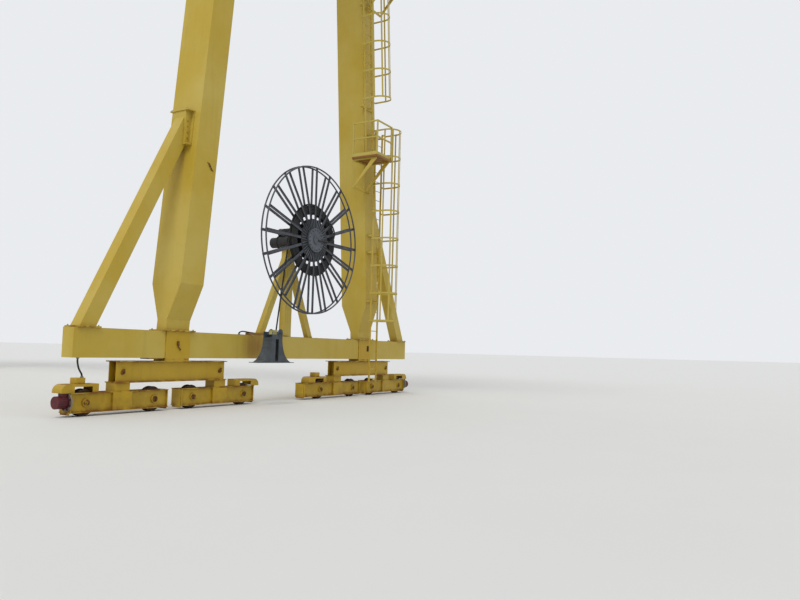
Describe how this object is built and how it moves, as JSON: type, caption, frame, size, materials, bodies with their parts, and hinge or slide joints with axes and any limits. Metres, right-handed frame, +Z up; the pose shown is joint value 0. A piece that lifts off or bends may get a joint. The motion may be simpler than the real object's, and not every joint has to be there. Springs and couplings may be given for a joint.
{
  "type": "rail mounted gantry crane",
  "caption": "Rail-mounted double-girder gantry crane with balanced wheel bogies, leaning box legs, struts, a spoked cable reel, a caged ladder and a hoist trolley.",
  "frame": {"origin": "middle of the crane on the floor, level with the wheel flanges' lowest points", "axes": "+X along the rails, +Y along the girders away from the side frame with the reel and ladder, +Z up"},
  "size_m": [13.76, 39.6, 22.9],
  "materials": {
    "crane_yellow": "weathered yellow paint with rust runs",
    "motor_red": "dark red paint",
    "wheel_steel": "dark worn steel",
    "lamp_grey": "satin",
    "hoist_grey": "grey paint",
    "wire_rope": "greased rope",
    "galvanised": "dull grey galvanised",
    "cable_rubber": "black sheath",
    "drive_black": "dark grey paint",
    "guide_grey": "blue grey galvanised"
  },
  "bodies": {
    "portal": {"near_sill": "crane_yellow", "far_sill": "crane_yellow", "saddles": "crane_yellow", "near_equalizers": "crane_yellow", "far_equalizers": "crane_yellow", "near_bogies": "crane_yellow", "far_bogies": "crane_yellow", "travel_motors": "motor_red", "wheel_covers": "wheel_steel", "near_left_leg": "crane_yellow", "near_right_leg": "crane_yellow", "far_left_leg": "crane_yellow", "far_right_leg": "crane_yellow", "struts": "crane_yellow", "girder_seats": "crane_yellow", "girder_wedges": "crane_yellow", "near_tie": "crane_yellow", "far_tie": "crane_yellow", "left_girder": "crane_yellow", "right_girder": "crane_yellow", "walkways": "crane_yellow", "walkway_brackets": "crane_yellow", "handrails": "crane_yellow", "floodlights": "lamp_grey", "trolley_frame": "crane_yellow", "trolley_beams": "crane_yellow", "hoist_drum": "hoist_grey", "hoist_drive": "hoist_grey", "hoist_ropes": "wire_rope", "hook_block": "crane_yellow", "reel_stand": "crane_yellow", "reel_drive": "drive_black", "cable_guide": "guide_grey", "feed_cable": "cable_rubber", "ladders": "crane_yellow", "ladder_brackets": "crane_yellow", "ladder_cages": "crane_yellow", "rest_platforms": "crane_yellow", "platform_rails": "crane_yellow"},
    "near_wheel_1": {"near_wheel_1": "wheel_steel"},
    "near_wheel_2": {"near_wheel_2": "wheel_steel"},
    "near_wheel_3": {"near_wheel_3": "wheel_steel"},
    "near_wheel_4": {"near_wheel_4": "wheel_steel"},
    "near_wheel_5": {"near_wheel_5": "wheel_steel"},
    "near_wheel_6": {"near_wheel_6": "wheel_steel"},
    "near_wheel_7": {"near_wheel_7": "wheel_steel"},
    "near_wheel_8": {"near_wheel_8": "wheel_steel"},
    "far_wheel_1": {"far_wheel_1": "wheel_steel"},
    "far_wheel_2": {"far_wheel_2": "wheel_steel"},
    "far_wheel_3": {"far_wheel_3": "wheel_steel"},
    "far_wheel_4": {"far_wheel_4": "wheel_steel"},
    "far_wheel_5": {"far_wheel_5": "wheel_steel"},
    "far_wheel_6": {"far_wheel_6": "wheel_steel"},
    "far_wheel_7": {"far_wheel_7": "wheel_steel"},
    "far_wheel_8": {"far_wheel_8": "wheel_steel"},
    "reel": {"reel_front_flange": "galvanised", "reel_back_flange": "galvanised", "reel_windings": "cable_rubber", "reel_hub": "galvanised"}
  },
  "joints": [
    {"name": "near_wheel_1_spin", "type": "hinge", "parent": "portal", "child": "near_wheel_1", "pos_m": [-6.24, -12.8, 0.275], "axis": [0, 1, 0], "continuous": true},
    {"name": "near_wheel_2_spin", "type": "hinge", "parent": "portal", "child": "near_wheel_2", "pos_m": [-4.52, -12.8, 0.275], "axis": [0, 1, 0], "continuous": true},
    {"name": "near_wheel_3_spin", "type": "hinge", "parent": "portal", "child": "near_wheel_3", "pos_m": [-3.38, -12.8, 0.275], "axis": [0, 1, 0], "continuous": true},
    {"name": "near_wheel_4_spin", "type": "hinge", "parent": "portal", "child": "near_wheel_4", "pos_m": [-1.66, -12.8, 0.275], "axis": [0, 1, 0], "continuous": true},
    {"name": "near_wheel_5_spin", "type": "hinge", "parent": "portal", "child": "near_wheel_5", "pos_m": [1.66, -12.8, 0.275], "axis": [0, 1, 0], "continuous": true},
    {"name": "near_wheel_6_spin", "type": "hinge", "parent": "portal", "child": "near_wheel_6", "pos_m": [3.38, -12.8, 0.275], "axis": [0, 1, 0], "continuous": true},
    {"name": "near_wheel_7_spin", "type": "hinge", "parent": "portal", "child": "near_wheel_7", "pos_m": [4.52, -12.8, 0.275], "axis": [0, 1, 0], "continuous": true},
    {"name": "near_wheel_8_spin", "type": "hinge", "parent": "portal", "child": "near_wheel_8", "pos_m": [6.24, -12.8, 0.275], "axis": [0, 1, 0], "continuous": true},
    {"name": "far_wheel_1_spin", "type": "hinge", "parent": "portal", "child": "far_wheel_1", "pos_m": [-6.24, 12.8, 0.275], "axis": [0, 1, 0], "continuous": true},
    {"name": "far_wheel_2_spin", "type": "hinge", "parent": "portal", "child": "far_wheel_2", "pos_m": [-4.52, 12.8, 0.275], "axis": [0, 1, 0], "continuous": true},
    {"name": "far_wheel_3_spin", "type": "hinge", "parent": "portal", "child": "far_wheel_3", "pos_m": [-3.38, 12.8, 0.275], "axis": [0, 1, 0], "continuous": true},
    {"name": "far_wheel_4_spin", "type": "hinge", "parent": "portal", "child": "far_wheel_4", "pos_m": [-1.66, 12.8, 0.275], "axis": [0, 1, 0], "continuous": true},
    {"name": "far_wheel_5_spin", "type": "hinge", "parent": "portal", "child": "far_wheel_5", "pos_m": [1.66, 12.8, 0.275], "axis": [0, 1, 0], "continuous": true},
    {"name": "far_wheel_6_spin", "type": "hinge", "parent": "portal", "child": "far_wheel_6", "pos_m": [3.38, 12.8, 0.275], "axis": [0, 1, 0], "continuous": true},
    {"name": "far_wheel_7_spin", "type": "hinge", "parent": "portal", "child": "far_wheel_7", "pos_m": [4.52, 12.8, 0.275], "axis": [0, 1, 0], "continuous": true},
    {"name": "far_wheel_8_spin", "type": "hinge", "parent": "portal", "child": "far_wheel_8", "pos_m": [6.24, 12.8, 0.275], "axis": [0, 1, 0], "continuous": true},
    {"name": "reel_spin", "type": "hinge", "parent": "portal", "child": "reel", "pos_m": [0.09, -13.65, 4.45], "axis": [0, -1, 0], "continuous": true}
  ]
}
